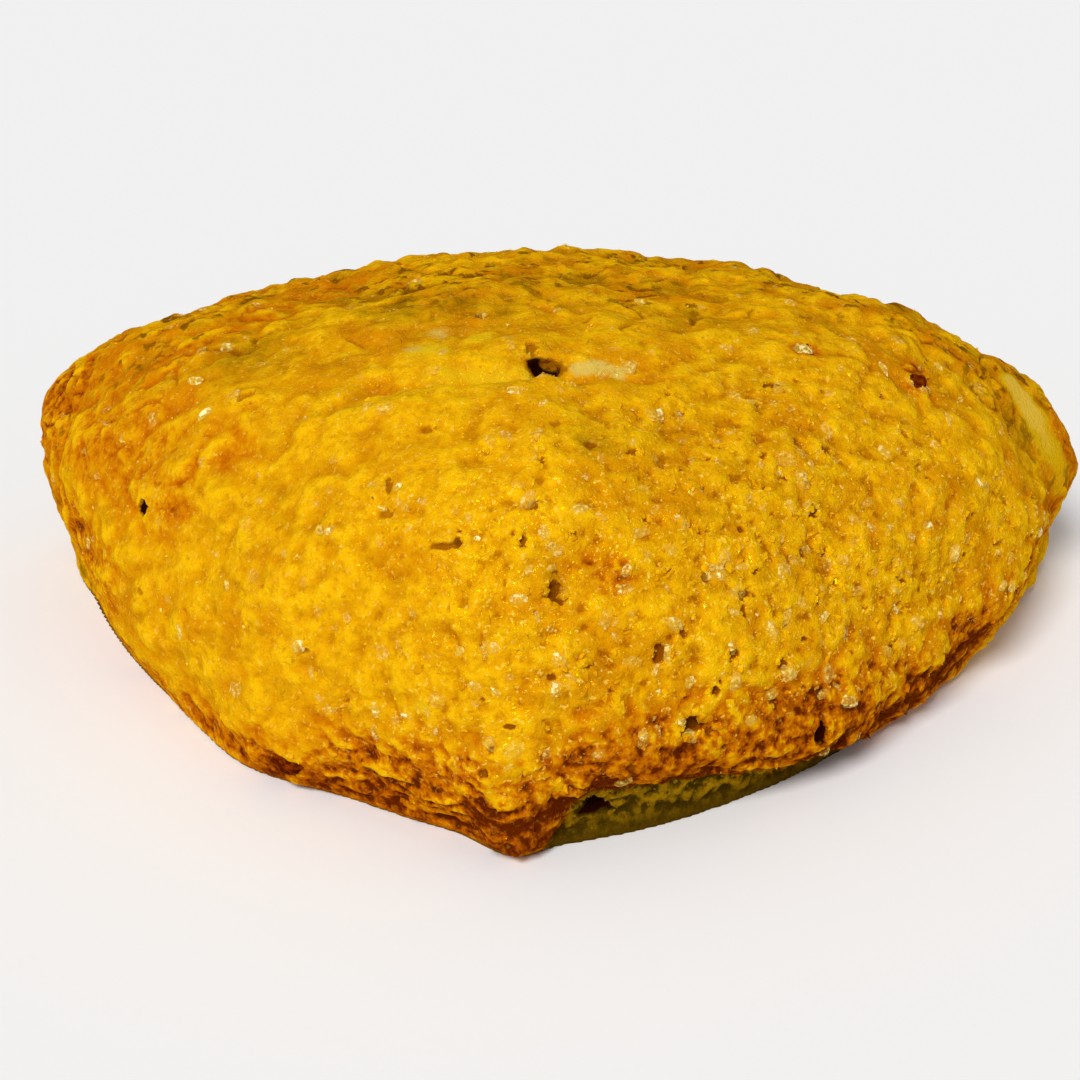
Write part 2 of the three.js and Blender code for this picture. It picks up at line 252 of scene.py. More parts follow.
# %% Scatter the other holes
HOLE_COUNT = 200
HOLE_LOWEST = 9  # height above which the crust has holes
HOLES_APART = 2.2
rng = np.random.default_rng(7)


def front_right(places):
    """How far towards the sugary front right a place lies, from 0 to 1."""
    return ramp(places[:, 0] - places[:, 1], -5, 50) * ramp(-places[:, 1], -10, 28)


def choose(places, count, weight, apart):
    """Picks vertices by weight, none closer than apart to one picked before."""
    tried = min(6 * count, int((weight > 0).sum()))
    order = rng.choice(len(places), size=tried, replace=False, p=weight / weight.sum())
    return spread_out(places, order, apart, count)


def ruled_holes(places):
    sugary = front_right(places)
    weight = ramp(places[:, 2], HOLE_LOWEST, HOLE_LOWEST + 4) * (0.25 + sugary ** 2)
    holes = []
    for index in choose(places, HOLE_COUNT, weight, HOLES_APART):
        size = 0.28 + 0.42 * rng.random() ** 2
        stretch = rng.uniform(0.7, 1.5)
        depth = size * rng.uniform(0.5, 0.9)
        darkness = rng.uniform(0.2, 0.45) + 0.25 * sugary[index]
        holes.append((tuple(places[index]), size * stretch, size / stretch, depth, darkness))
    return holes


places, normals = vertex_arrays(skin)
holes = LANDMARK_HOLES + ruled_holes(places)
print("holes:", len(holes))

# %% [markdown]
# ## Finer squares round the holes
# A dent of one millimetre needs more vertices than the even skin has. Splitting every square would make four
# times as many, so `subdivide_edges` splits only those round a hole.

# %% Split the squares round the holes
def near_holes(places, holes):
    near = np.zeros(len(places), bool)
    for place, half_width, half_height, *_ in holes:
        reach = 1.2 * max(half_width, half_height) + 0.3
        near |= np.linalg.norm(places - np.array(place), axis=1) < reach
    return near


near = near_holes(places, holes)
skin.verts.index_update()
split = [edge for edge in skin.edges if near[edge.verts[0].index] and near[edge.verts[1].index]]
bmesh.ops.subdivide_edges(skin, edges=split, cuts=1, use_grid_fill=True)
places, normals = vertex_arrays(skin)
print("split edges:", len(split), "vertices now:", len(places))

# %% [markdown]
# ## Regions of the crust
# A scone isn't alike all over: the crown is calm, the front right is full of sugar, dough shows bare at the
# foot of the right side and in the split corner, and the foot of the tip is fibrous. Each region is a number
# from 0 to 1 on every vertex. Weights could be painted by hand; rules in millimetres are easier to change.

# %% Noise and distances
def noise_at(places, size, seed):
    """Perlin noise, one value a place, with lumps of about this size."""
    apart = Vector((17.3 * seed, 5.7 * seed, 11.9 * seed))
    return np.array([noise.noise(Vector(place) / size + apart) for place in places])


def off_line(places, line):
    """Distance from each place to a line of several points."""
    least = np.full(len(places), np.inf)
    for start, end in zip(line, line[1:]):
        along = np.clip((places - start) @ (end - start) / ((end - start) @ (end - start)), 0, 1)
        least = np.minimum(least, np.linalg.norm(places - start - along[:, None] * (end - start), axis=1))
    return least


# %% Find the bare dough at the foot
CROWN = np.array((-1.854, -10.974))  # in plan, where the solid's own relief is measured from
BAND = {"left": -3.5, "slant": 0.75, "to": -24, "crust": 6.9}  # bare dough on the right side of the foot
BAND_FALL = {"from": -64, "to": -30, "share": 0.62}  # where its edge comes down, in degrees, and how far
BAND_WAVES = ((3.4, 0.5), (1.5, 0.25))  # length and height of the waves in that edge


def bare_band(places):
    """1 on the bare dough under the crust's edge, 0 elsewhere."""
    x, y, z = places.T
    angle = np.degrees(np.arctan2(y - CROWN[1], x - CROWN[0]))
    edge = BAND["crust"] * (1 - BAND_FALL["share"] * ramp(angle, BAND_FALL["from"], BAND_FALL["to"]))
    edge += sum(height * np.sin((x - CROWN[0]) / length) for length, height in BAND_WAVES)
    fray = noise_at(places, 1.3, 10)
    starts = ramp(x - BAND["left"] - BAND["slant"] * z + 1.8 * fray, -0.6, 3.4)
    ends = 1 - ramp(angle + 4 * fray, BAND["to"], BAND["to"] + 7)
    in_front = 1 - ramp(y, -15, -10)
    return in_front * starts * ends * (1 - ramp(z + 0.9 * fray, edge - 1.7, edge - 0.5))


wall = bare_band(places)
print("vertices on bare dough:", int((wall > 0.5).sum()))

# %% Mark the other regions
CALM = np.array((-3.0, -28.0, 36.0))  # middle of the smoother crown
CALM_REACH = 19
FIBRES = np.array(((-26.0, -35.0, 4.0), (-12.0, -42.0, 5.0), (1.0, -43.5, 6.0)))
FIBRE_REACH = 6
PALE_STRIP = np.array(((50.8, 9.9, 26.4), (53.7, 9.1, 22.4), (55.2, 8.1, 19.8), (56.8, 7.1, 15.8)))

strip = 1 - ramp(off_line(places, PALE_STRIP) + noise_at(places, 2.2, 11), 0.8, 2.6)
calm = bell(np.linalg.norm(places - CALM, axis=1), CALM_REACH)
fibrous = bell(off_line(places, FIBRES), FIBRE_REACH)
sugary = front_right(places)
behind = ramp(places[:, 1], -8, 12)
foot = ramp(places[:, 2], 0, 2)
print("vertices at the sugary front right:", int((sugary > 0.5).sum()))

# %% [markdown]
# ## Crags
# The crust is lumpy at every size: swells from the solid, then lumps of four or five millimetres, small
# lumps of two and grit of one. The absolute value of Perlin noise gives round lumps with sharp creases
# between them, as risen dough has. Lumps are lowest over the calm crown, and grit is strongest in the sugary
# front right. Sampling the noise at places that wander a little keeps it from looking like a pattern.

# %% Raise the lumps
LUMP_SIZE = 4.6
LUMP_HEIGHT = 0.85
SMALL_LUMP_SIZE = 2.1
SMALL_LUMP_HEIGHT = 0.3
GRIT_SIZE = 0.95
GRIT_HEIGHT = 0.14

wander = np.stack([noise_at(places, 5, seed) for seed in (1, 2, 3)], axis=1)
warped = places + 1.2 * wander
lumps = np.abs(noise_at(warped, LUMP_SIZE, 4)) - 0.28
small_lumps = noise_at(warped, SMALL_LUMP_SIZE, 5)
grit = noise_at(places, GRIT_SIZE, 6)
rise = (LUMP_HEIGHT - 0.35 * calm - 0.1 * sugary) * (1 - 0.5 * fibrous) * lumps
small_height = SMALL_LUMP_HEIGHT + 0.1 * sugary + 0.12 * behind
rise += small_height * small_lumps + (GRIT_HEIGHT + 0.14 * sugary) * grit
print("lumps, mm:", rise.min().round(2), "to", rise.max().round(2))

# %% [markdown]
# ## Fibres, seams and creases
# The foot of the tip has layers that pulled apart: noise stretched along the ground gives those fibres.
# Behind the crown the crust has folded into seams, which follow the zero line of stretched noise. The tear
# across the crown and the split in the bare band are creases along a line, made ragged by noise.

# %% Pull the fibres and fold the seams
ALONG_THE_GROUND = np.array((0.3, 0.3, 1.0))
FROM_LEFT_TO_RIGHT = np.array((0.35, 1.0, 1.0))
FIBRE_HEIGHT = 1.2
SEAM_DEPTH = 0.4

fibres = np.abs(noise_at(warped * ALONG_THE_GROUND, 1.3, 12)) - 0.25
rise += FIBRE_HEIGHT * fibrous * fibres
folds = np.abs(noise_at(warped * FROM_LEFT_TO_RIGHT, 3.4, 14))
folded = ramp(places[:, 1], -12, 4) * ramp(places[:, 2], 12, 20)
seams = folded * (1 - ramp(folds, 0.01, 0.09)) * ramp(noise_at(places, 8, 15), -0.1, 0.2)
rise -= SEAM_DEPTH * seams
print("vertices in seams:", int((seams > 0.5).sum()))

# %% Crease the bare band and the tear
BAND_CREASE = np.array(((1.5, -40.2, 3.3), (7.0, -38.4, 3.0), (14.0, -34.8, 2.8)))
BAND_CREASE_DEPTH = 0.7
TEAR = {"left": -21.9, "right": 11.2, "y": -13.1, "sag_x": -10.9, "sag": 1.5, "sag_width": 9}
TEAR_DEPTH = 0.9


def behind_tear(places):
    """How far a place lies behind the tear across the crown."""
    x, y, _ = places.T
    return y - TEAR["y"] + TEAR["sag"] * bell(x - TEAR["sag_x"], TEAR["sag_width"])


def tear_ends(places):
    left, right = TEAR["left"], TEAR["right"]
    return ramp(places[:, 0], left, left + 5) * (1 - ramp(places[:, 0], right - 5, right))


off_crease = off_line(places, BAND_CREASE)
rise *= (1 - 0.85 * strip) * (1 - 0.45 * wall)
crumbly = 0.5 * noise_at(places, 1.2, 13) + 0.2 * grit
rise += wall * (crumbly - BAND_CREASE_DEPTH * bell(off_crease + 0.3 * grit, 0.6))
ragged = noise_at(places, 2.6, 7)
rise -= TEAR_DEPTH * tear_ends(places) * bell(behind_tear(places) + 0.6 * ragged, 0.8)
print("crags, mm:", rise.min().round(2), "to", rise.max().round(2))

# %% [markdown]
# ## Where the foot shrank
# Dough shrinks as it bakes, and in four stretches the foot has drawn in. Each is a few points with a reach
# round them, which is easier to set against the photograph than a formula for the whole foot.

# %% Measure how far the foot draws in
# Points along a stretch, its reach and how far it draws in
SHRUNK = [
    (((60, 12, 8.5), (56, 4, 5)), 4.5, 1.7),  # under the split corner
    (((34, -26, 2), (50, -7, 4)), 4.5, 1.4),  # right side
    (((-55, 6, 1), (-46, -13, 2)), 4.5, 1.4),  # left side
    (((-11, -41.5, 1), (-8.5, -43, 1)), 2.5, 1.5),  # beside the tip
]


def stretches(places, listed):
    """The strongest of several stretches: points along each, its reach and its strength."""
    strongest = np.zeros(len(places))
    for points, reach, strength in listed:
        strongest = np.maximum(strongest, strength * bell(off_line(places, np.array(points, float)), reach))
    return strongest


drawn_in = stretches(places, SHRUNK)
print("foot draws in by at most, mm:", drawn_in.max().round(2))

# %% [markdown]
# ## Pressing the holes
# Every vertex within a hole's ragged rim moves in along the normal. How dark the hole is there is kept,
# because its inside is partly browner than the crust round it and partly in painted shade, and the lumps die
# out in it.

# %% Press the holes
def pressed(places, normals, holes):
    """Depth and darkness of the holes at each place."""
    depth_at = np.zeros(len(places))
    shade_at = np.zeros(len(places))
    rag = 0.6 * noise_at(places, 0.9, 8) + 0.4 * noise_at(places, 0.45, 9)
    for place, half_width, half_height, depth, darkness in holes:
        apart = places - np.array(place)
        nearby = np.flatnonzero(np.linalg.norm(apart, axis=1) < 2.2 * max(half_width, half_height))
        if not len(nearby):
            continue
        facing = normals[nearby].mean(axis=0)
        facing /= np.linalg.norm(facing)
        across = np.array((1.0, 0, 0)) - facing[0] * facing
        across /= np.linalg.norm(across)
        up = np.cross(facing, across)
        reach = np.hypot(apart[nearby] @ across / half_width, apart[nearby] @ up / half_height)
        inside = 1 - ramp(reach * (1 + min(1, 0.9 / half_width) * rag[nearby]), 0.55, 1.15)
        depth_at[nearby] = np.maximum(depth_at[nearby], depth * inside)
        shade_at[nearby] = np.maximum(shade_at[nearby], darkness * inside)
    return depth_at, shade_at


hole_depth, hole_shade = pressed(places, normals, holes)
crease_end = 1 - ramp(places[:, 0], 4, 16)
crease_shade = 1.1 * wall * crease_end * bell(off_crease + 0.35 * grit, 0.45)
hole_shade = np.maximum(hole_shade, crease_shade)
print("deepest hole, mm:", hole_depth.max().round(2))

# %% Move the skin
moved = places + normals * ((rise * (1 - np.minimum(hole_shade, 1)) - hole_depth) * foot)[:, None]
moved[:, :2] -= normals[:, :2] * drawn_in[:, None]
moved[:, 2] = np.maximum(moved[:, 2], 0)
move_to(skin, moved)
crust_mesh = bpy.data.meshes.new("crust")
skin.to_mesh(crust_mesh)
skin.free()
crust_mesh.shade_smooth()
print("skin moved, mm:", np.linalg.norm(moved - places, axis=1).max().round(2), "at most")

# %% [markdown]
# ## Where the crust toasted
# Thin edges and what lies near the tray brown first: the tip, the corners, the foot and the crust's edge
# over the bare band. That could be painted on an image, but a shared part carries none. That could be
# painted on an image; here each toasted stretch is a few points instead, with a reach and a strength.

# %% List the toasted stretches
# Points along a stretch, its reach and its strength
TOASTED = [
    (((-9, -44, 1.5), (-4, -45.5, 2), (0, -43.5, 2)), 2.6, 1.6),  # the tip
    (((-9, -44.5, 5), (-4, -45.5, 5.5), (0, -44, 5.5)), 3.6, 1.25),
    (((-22, -38, 5), (-8, -44, 7)), 6, 0.7),
    (((-8, -44, 8), (4, -42, 10)), 5, 0.5),
    (((-60, 14, 20), (-59, 15, 24)), 9, 0.65),  # left corner
    (((-56, 12, 22), (-42, -5, 24)), 12, 0.32),
    (((-58, 8, 14), (-50, -8, 12)), 6, 0.45),
    (((-58, 16, 22), (-36, 32, 31)), 6, 0.45),  # back edge on the left
    (((5, -41, 8.5), (28, -28, 7)), 6.0, 1.27),  # edge over the bare band
    (((26, -29, 4), (44, -14, 5)), 5.8, 1.15),  # foot of the right side
    (((25, -33, 4.5), (35, -24, 4.5), (46, -13, 7.5)), 2.3, 1.5),
    (((-42, 4, 33), (-25, 18, 34.5)), 5, 0.3),  # behind the left shoulder
    (((42, -17, 8), (58, 4, 10)), 6, 0.6),  # right edge
    (((-8, -43, 1), (-30, -30, 1)), 5, 1.0),  # lower left edge
    (((-30, -30, 1), (-54, 0, 3)), 5, 0.5),
    (((1.5, -36.5, 28.8), (6, -36, 28)), 2.3, 0.4),  # a blistered ridge in front
    (((-1, -15, 38), (7, -14, 38)), 2.0, 0.25),  # the lip of the tear
    (((-42, -15, 24), (-30, -12, 31)), 5, 0.3),  # left shoulder
    (((38.3, -3, 32.6), (38.3, -1, 33)), 1.8, 1.0),  # round the chip at the right
    (((25.6, -4.6, 37.5), (26, -4.6, 37.5)), 1.4, 0.8),  # a scorched spot
    (((57.5, 12, 20), (59.5, 9, 14)), 3.2, 0.5),  # outer rim of the right corner
    (((-20, 44, 20), (30, 40, 22)), 9, 0.45),  # back
]
toast = stretches(moved, TOASTED)
print("toasted vertices:", int((toast > 0.5).sum()))

# %% [markdown]
# ## Olive, pale and cream spots
# Some furrows on the crown have an olive cast, and where the crust tore, pale crust and cream dough show.
# These spots don't follow from the shape, so each is given a middle and a reach.

# %% List the spots
OLIVE = [
    ((-34, -1.5, 34.5), 5.5),
    ((-11, 2.7, 39), 4),
    ((-4, 9, 39), 2.5),
    ((-6, 1, 39), 1.8),
    ((-17, 3, 38.4), 4),
    ((3, -26, 37), 2.6),
    ((-1, -35, 28), 2.5),
]
PALE = [
    ((-13.5, -8, 39), 2.6),
    ((-8.5, -6.5, 39.5), 1.8),
    ((-13.5, -40.5, 15.6), 1.2),
    ((-4.8, -44.7, 13.8), 1.4),
]
TORN_PALE = np.array(((-13.5, -14.6, 38.4), (-4.0, -14.0, 38.4)))  # lip of the tear
TORN_CREAM = np.array(((0.4, -12.5, 38.7), (3.8, -11.6, 38.7), (6.4, -12.0, 38.5)))  # beside its hole
CREAM = [((-12.9, -3.3, 38.4), 1.2), ((-15.3, -7.5, 38.5), 1.2), ((-5.3, -7.1, 39.7), 0.7)]
CREAM_STRENGTH = 0.75


def spots(places, listed, fray=0):
    """The strongest of several round spots: the middle of each and its reach."""
    strongest = np.zeros(len(places))
    for middle, reach in listed:
        distance = np.linalg.norm(places - np.array(middle), axis=1) + fray
        strongest = np.maximum(strongest, bell(distance, reach))
    return strongest


olive = spots(moved, OLIVE)
torn_lip = 1 - ramp(off_line(moved, TORN_PALE) + 1.5 * small_lumps + 0.6 * grit, 0.6, 3.0)
pale = np.maximum(spots(moved, PALE), torn_lip)
torn = 1 - ramp(off_line(moved, TORN_CREAM) + 1.3 * small_lumps + 0.5 * grit, 0.7, 1.4)
torn = np.maximum(torn, CREAM_STRENGTH * spots(moved, CREAM, 0.6 * small_lumps))
print("vertices that show cream dough:", int((torn > 0.5).sum()))

# %% [markdown]
# ## What the crust remembers
# Colour follows shape too: wide furrows turn olive and small gaps rusty as painted shade, and tops of lumps
# get painted light. Blender has no node for the depth of a dip that an export keeps, so each measure is
# worked out here and stored on the vertices as an attribute, which a material reads by name. A dip is how
# far a vertex lies below a softer form of the skin.

# %% Measure the dips
FINE_ROUNDS = 8
MID_ROUNDS = 35
WIDE_ROUNDS = 120


def dip(soft, sharp):
    return ((soft - sharp) * normals).sum(axis=1)


pairs = np.array([edge.vertices for edge in crust_mesh.edges])
fine_dip = dip(softened(moved, pairs, FINE_ROUNDS), moved)
soft_form = softened(moved, pairs, MID_ROUNDS)
mid_dip = dip(soft_form, moved)
wide_dip = dip(softened(soft_form, pairs, WIDE_ROUNDS), soft_form)
print("deepest dips, mm:", fine_dip.max().round(2), mid_dip.max().round(2), wide_dip.max().round(2))

# %% Keep every measure on the skin
FULL_FINE, FULL_MID, FULL_WIDE = 0.16, 0.3, 0.4  # depth of a dip that counts as 1
memory = {
    "fine_dip": np.clip(fine_dip / FULL_FINE, -1, 1),
    "mid_dip": np.clip((mid_dip - np.median(mid_dip)) / FULL_MID, -1, 1),
    "wide_dip": np.clip((wide_dip - np.median(wide_dip)) / FULL_WIDE, -1, 1),
    "toast": toast,
    "olive": olive,
    "torn": torn,
    "pale": pale,
    "strip": strip * ramp(moved[:, 2], 13, 24),
    "bare": wall,
    "sugary": sugary,
    "calm": calm,
    "hole": hole_shade,
    "seam": seams,
    "back": behind,
    "own": np.full(len(moved), 0.5),
}


def keep(mesh, name, values, domain="POINT"):
    attribute = mesh.attributes.new(name, "FLOAT", domain)
    attribute.data.foreach_set("value", values.astype(np.float32))
    print(name, "mean", values.mean().round(3), "most", values.max().round(3))


for name, values in memory.items():
    keep(crust_mesh, name, values)

# %% [markdown]
# ## Thinning the skin
# The skin has more triangles than a shared part should. Decimate collapses edges where the skin is nearly
# flat first, so the holes and creases keep theirs, and it carries the stored measures along. Sugar, crumbs
# and chips are set on the full skin later, so its normals and faces are kept first.

# %% Keep the full skin's normals and faces
STEADY_ROUNDS = 12  # of softening, so that a block of sugar doesn't stand on a single lump
crust_normals = np.array([vert.normal for vert in crust_mesh.vertices])
steady_normals = softened(crust_normals, pairs, STEADY_ROUNDS)
steady_normals /= np.linalg.norm(steady_normals, axis=1)[:, None]
crust_faces = [tuple(face.vertices) for face in crust_mesh.polygons]
print("faces of the full skin:", len(crust_faces))

# %% Thin the skin
TRIANGLES_KEPT = 190_000


def count_triangles(mesh):
    return sum(len(face.vertices) - 2 for face in mesh.polygons)


def thinned(mesh, kept):
    full = bpy.data.objects.new("full skin", mesh)
    scene.collection.objects.link(full)
    decimate = full.modifiers.new("thin", "DECIMATE")
    decimate.ratio = kept / count_triangles(mesh)
    thin = bpy.data.meshes.new_from_object(full.evaluated_get(bpy.context.evaluated_depsgraph_get()))
    bpy.data.objects.remove(full)
    return thin


full_count = count_triangles(crust_mesh)
crust_mesh = thinned(crust_mesh, TRIANGLES_KEPT)
crust_mesh.name = "crust"
crust_mesh.shade_smooth()
crust = bpy.data.objects.new("crust", crust_mesh)
scene.collection.objects.link(crust)
print("crust:", full_count, "triangles thinned to", count_triangles(crust_mesh))

# %% [markdown]
# ## Cutting the base
# Moving the skin has left slivers lying in the plane of the tray. `bisect_plane` cuts the mesh just above
# them and drops what lies below, and new faces close the rim. They are shaded flat, or the bend at the rim
# would smear light and dark across them. An attribute marks them, so that they alone take the colours of a
# crust that lay on a tray.

# %% Cut the base flat
BASE_CUT = 0.05  # above the tray


def cut_base(mesh):
    body = bmesh.new()
    body.from_mesh(mesh)
    tray = body.faces.layers.float.new("tray")
    whole = body.verts[:] + body.edges[:] + body.faces[:]
    at = (0, 0, BASE_CUT * MM)
    bmesh.ops.bisect_plane(body, geom=whole, plane_co=at, plane_no=(0, 0, -1), clear_outer=True)
    rim = [edge for edge in body.edges if edge.is_boundary]
    for edge in rim:
        for vert in edge.verts:
            vert.co.z = 0
    filled = bmesh.ops.holes_fill(body, edges=rim, sides=0)["faces"]
    base = bmesh.ops.triangulate(body, faces=filled)["faces"]
    bmesh.ops.recalc_face_normals(body, faces=body.faces)
    for face in base:
        face.smooth = False
        face[tray] = 1.0
    area = sum(face.calc_area() for face in base) / MM ** 2
    body.to_mesh(mesh)
    body.free()
    return area


print("base, mm2:", round(cut_base(crust_mesh)), "crust:", count_triangles(crust_mesh), "triangles")

# %% [markdown]
# ## Shader sums in Python
# A material is a graph of nodes, and sums made of Math nodes are hard to read. The class below wraps one
# output socket and teaches Python's operators to add the nodes, so that `1 - mask * 0.5` builds them.
# Colours go through a Mix node, because a Math node would turn them grey.

# %% A socket that can be used in sums
class Wire:
    """An output socket of a node tree."""

    def __init__(self, tree, socket=None):
        self.tree = tree
        self.socket = socket

    def node(self, kind, settings=None, sockets=None, out=0):
        """Adds a node: its settings first, then the values or links of its sockets."""
        made = self.tree.nodes.new("ShaderNode" + kind)
        for name, value in (settings or {}).items():
            setattr(made, name, value)
        for name, value in (sockets or {}).items():
            if isinstance(value, Wire):
                self.tree.links.new(value.socket, made.inputs[name])
            else:
                made.inputs[name].default_value = value
        return Wire(self.tree, made.outputs[out])

    def sum(self, operation, first, second):
        return self.node("Math", {"operation": operation}, {0: first, 1: second})

    def __add__(self, other):
        return self.sum("ADD", self, other)

    def __sub__(self, other):
        return self.sum("SUBTRACT", self, other)

    def __rsub__(self, other):
        return self.sum("SUBTRACT", other, self)

    def __mul__(self, other):
        return self.sum("MULTIPLY", self, other)

    __radd__ = __add__
    __rmul__ = __mul__

    def rise(self, start, end):
        """0 up to start, 1 from end, and smooth between them."""
        settings = {"interpolation_type": "SMOOTHSTEP"}
        return self.node("MapRange", settings, {"Value": self, "From Min": start, "From Max": end})

    def blend(self, first, second):
        """Mixes two colours, with this socket as the share of the second."""
        first, second = (c if isinstance(c, Wire) else (*c, 1) for c in (first, second))
        return self.node("Mix", {"data_type": "RGBA"}, {0: self, 6: first, 7: second}, out=2)

    def stored(self, name):
        """A measure that the mesh keeps."""
        return self.node("Attribute", {"attribute_name": name}, out="Fac")

    def mottle(self, where, size, detail):
        """Noise with blotches of about this size."""
        return self.node("TexNoise", None, {"Vector": where, "Scale": 1 / (size * MM), "Detail": detail})


def new_finish(name):
    """A material with its shader, and a wire to build on."""
    finish = bpy.data.materials.new(name)
    finish.use_nodes = True
    return finish, finish.node_tree.nodes["Principled BSDF"], Wire(finish.node_tree)


def plug(wire, socket):
    wire.tree.links.new(wire.socket, socket)


# %% [markdown]
# ## The baked crust
# The crust runs from golden yellow through orange to brown where it toasted, olive in the furrows as painted
# shade, cream where dough shows. One long graph would be hard to follow, so each step below takes the tone
# so far and blends one more thing over it. All steps share the same noises and measures, which are made
# once.

# %% Noises and measures that the steps share
class CrustMaps:
    """What the crust's tones are blended by."""

    def __init__(self, wire):
        self.wire = wire
        self.place = wire.node("TexCoord", out="Object")
        self.height = wire.node("SeparateXYZ", None, {0: self.place}, out="Z")
        self.broad = self.mottle(12)
        self.middling = self.mottle(3.6, 3.0)
        self.small = self.mottle(1.2, 3.0)
        self.specks = self.mottle(0.6, 1.0)
        self.patches = self.broad * 0.3 + self.mottle(6.0) * 0.35 + self.middling * 0.35
        self.fine_dip = wire.stored("fine_dip")
        self.mid_dip = wire.stored("mid_dip")
        self.toast = wire.stored("toast")
        self.sugary = wire.stored("sugary")
        self.back = wire.stored("back")
        self.bare = wire.stored("bare").rise(0.2, 0.8)

    def mottle(self, size, detail=2.0):
        return self.wire.mottle(self.place, size, detail)


# %% [markdown]
# ## Golden lumps
# Most of the crust is golden, lighter in random blotches and, as painted light, on the tops of lumps, with
# orange patches and amber veins and flecks.
# The calm crown has fewer of these and the back more. Noise of several sizes mixed together looks less even
# than one noise with much detail.

# %% Blend the golden crust
GOLD = (0.72, 0.332, 0.0015)
LIGHT = (0.86, 0.475, 0.003)
ORANGE = (0.60, 0.19, 0.001)
AMBER = (0.42, 0.155, 0.001)
VEIN_STRETCH = (0.35, 1.0, 1.0)


def golden_lumps(maps):
    calm = maps.wire.stored("calm")
    light = maps.small * 0.5 + maps.specks * 0.2 + maps.wire.stored("own") * 0.3
    # The tops of lumps, above their softer form, are painted lighter as painted light, and the dips a little
    # darker as painted shade.
    light = light - maps.mid_dip * 0.12 - maps.fine_dip * 0.08
    tone = light.rise(0.36, 0.68).blend(GOLD, LIGHT)
    warm = maps.patches.rise(0.46, 0.63) * (0.66 - calm * 0.26 + maps.back * 0.2)
    warm = warm + maps.small.rise(0.54, 0.74) * 0.25 + maps.back * 0.12
    tone = warm.blend(tone, ORANGE)
    streaked = maps.wire.node("Mapping", None, {"Vector": maps.place, "Scale": VEIN_STRETCH})
    veins = maps.wire.mottle(streaked, 2.2, 3.0).rise(0.5, 0.68)
    tone = (veins * (0.42 - calm * 0.3 + maps.back * 0.25)).blend(tone, AMBER)
    flecks = maps.mottle(0.85).rise(0.57, 0.68)
    return (flecks * (0.34 - calm * 0.14 + maps.back * 0.2)).blend(tone, AMBER)


# %% [markdown]
# ## Furrows, seams and gaps
# Behind the crown the furrows are olive and the seams brown, and in the sugary front the gaps between lumps
# are the colour of rust: painted shade in the low places, mixed with noise of the crust's own tone. The
# stored dips say where these lie, and noise breaks up their edges.

# %% Blend what lies low
OLIVE_TONE = (0.31, 0.146, 0.001)
SEAM_BROWN = (0.19, 0.073, 0.001)
RUST = (0.34, 0.072, 0.001)


def with_furrows(maps, tone):
    # Olive in the wide dips is painted shade; the mottle on the back is the crust's own tone.
    furrow_tone_and_shade = maps.wire.stored("wide_dip").rise(0.1, 0.9) * (maps.back * 0.6 + 0.1)
    furrow_tone_and_shade = furrow_tone_and_shade + maps.mottle(2.8, 5.0).rise(0.53, 0.61) * maps.back * 0.5
    spotted = maps.wire.stored("olive") * (maps.small * 1.4)
    tone = (furrow_tone_and_shade + spotted).rise(0.05, 1.2).blend(tone, OLIVE_TONE)
    marks = maps.mottle(1.9, 4.0).rise(0.52, 0.66) * maps.back * maps.broad.rise(0.36, 0.54)
    # Brown in the seams is painted shade; the marks on the back are the crust's own.
    painted_seam_shade = maps.wire.stored("seam") * (maps.middling * 1.5)
    tone = (painted_seam_shade + marks * 0.9).rise(0.05, 1.0).blend(tone, SEAM_BROWN)
    # Rust in the gaps between lumps is painted shade, broken up by noise of the crust's own tone.
    gap_tone_and_shade = maps.mid_dip * 0.6 + maps.fine_dip * 0.5 + (maps.specks - 0.5) * 1.6 + (maps.small - 0.5) * 1.2
    return (gap_tone_and_shade.rise(0.2, 1.3) * (maps.sugary * 0.5 + 0.25)).blend(tone, RUST)


# %% [markdown]
# ## Toasted edges
# Toasting goes from orange over rust to dark brown. A plain ramp over the stored measure would look
# airbrushed, so blotches of noise and the dips push it up and down first, and the edge comes out mottled.
# The dips push it darker, which is painted shade in them.

# %% Blend the toasting
TOAST_ORANGE = (0.58, 0.168, 0.001)
BROWN = (0.12, 0.016, 0.0005)


def with_toast(maps, tone):
    blotches = (maps.middling - 0.5) * 0.9 + (maps.small - 0.5) * 1.0 + (maps.specks - 0.5) * 0.6
    uneven = blotches * 1.4 + maps.mid_dip * 0.3 + maps.fine_dip * 0.25 + 0.12
    toasted = maps.toast + uneven * maps.toast.rise(0, 0.5)
    tone = toasted.rise(0.0, 0.65).blend(tone, TOAST_ORANGE)
    tone = toasted.rise(0.4, 1.05).blend(tone, RUST)
    return toasted.rise(0.8, 1.35).blend(tone, BROWN)


# %% [markdown]
# ## Dough that shows
# In the tear, in the split corner and on the bare band dough shows that the heat reached late. It is cream,
# but the band is painted darker, as painted shade under the crust's edge, and is grainy, with more painted
# shade in its dips and towards the tray. Each is blended by a measure of its own, so that one can be changed
# without the others. Tiny pale grains of sugar lie on the crust, painted lighter as glints, fewer where it
# toasted.

# %% Blend the dough and the tiny grains
PALE_CRUST = (0.78, 0.48, 0.006)
TORN_DOUGH = (0.69, 0.48, 0.085)
STRIP_EDGE = (0.62, 0.36, 0.004)
STRIP_DOUGH = (0.73, 0.45, 0.04)
PAINTED_GRAIN_GLINT = (0.98, 0.70, 0.09)
# The band's dough is painted darker as shade under the crust's edge, and its darkest tone is painted shade.
BAND_DOUGH_AND_SHADE = (0.36, 0.19, 0.003)
BAND_PAINTED_SHADE = (0.06, 0.031, 0.001)


